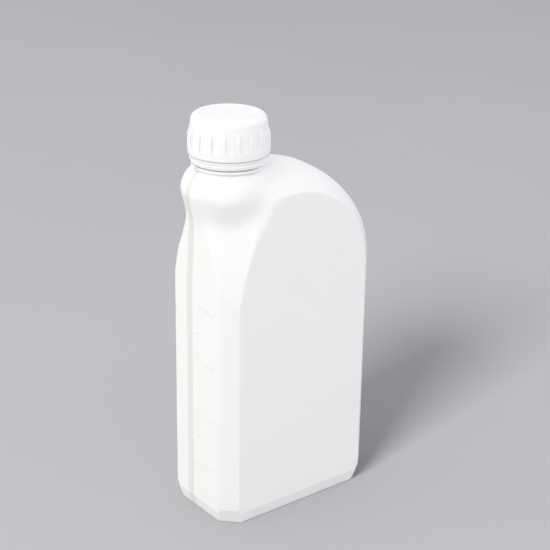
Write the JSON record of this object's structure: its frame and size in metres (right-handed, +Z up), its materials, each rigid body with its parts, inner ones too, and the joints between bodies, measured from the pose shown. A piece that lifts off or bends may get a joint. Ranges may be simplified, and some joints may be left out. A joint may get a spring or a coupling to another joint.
{
  "type": "plastic bottle",
  "caption": "Flat white plastic jerrycan-style bottle with an offset screw neck, rounded rear shoulder, volume marks and a ribbed tamper-evident cap.",
  "frame": {"origin": "middle of the bounding box, on the plane the bottle stands on", "axes": "+Z up along the neck, -X towards the narrow front wall with the volume marks under the neck, Y across the thickness"},
  "size_m": [0.1137, 0.06, 0.2432],
  "materials": {
    "bottle_wall": "satin",
    "cap_shell": "satin",
    "liner_foam": "matte"
  },
  "bodies": {
    "bottle": {"bottle": "bottle_wall", "tamper_band": "cap_shell"},
    "liner": {"cap_liner": "liner_foam"},
    "cap": {"cap": "cap_shell"}
  },
  "joints": [
    {"name": "cap_lift", "type": "slide", "parent": "bottle", "child": "liner", "axis": [0, 0, 1], "range_m": [0, 0.00801]},
    {"name": "cap_turn", "type": "hinge", "parent": "liner", "child": "cap", "pos_m": [-0.02965, 0, 0.232], "axis": [0, 0, 1], "range_deg": [0, 720]}
  ],
  "couplings": [
    {"joint": "cap_lift", "follows": "cap_turn", "m_per_rad": 0.00063662}
  ]
}
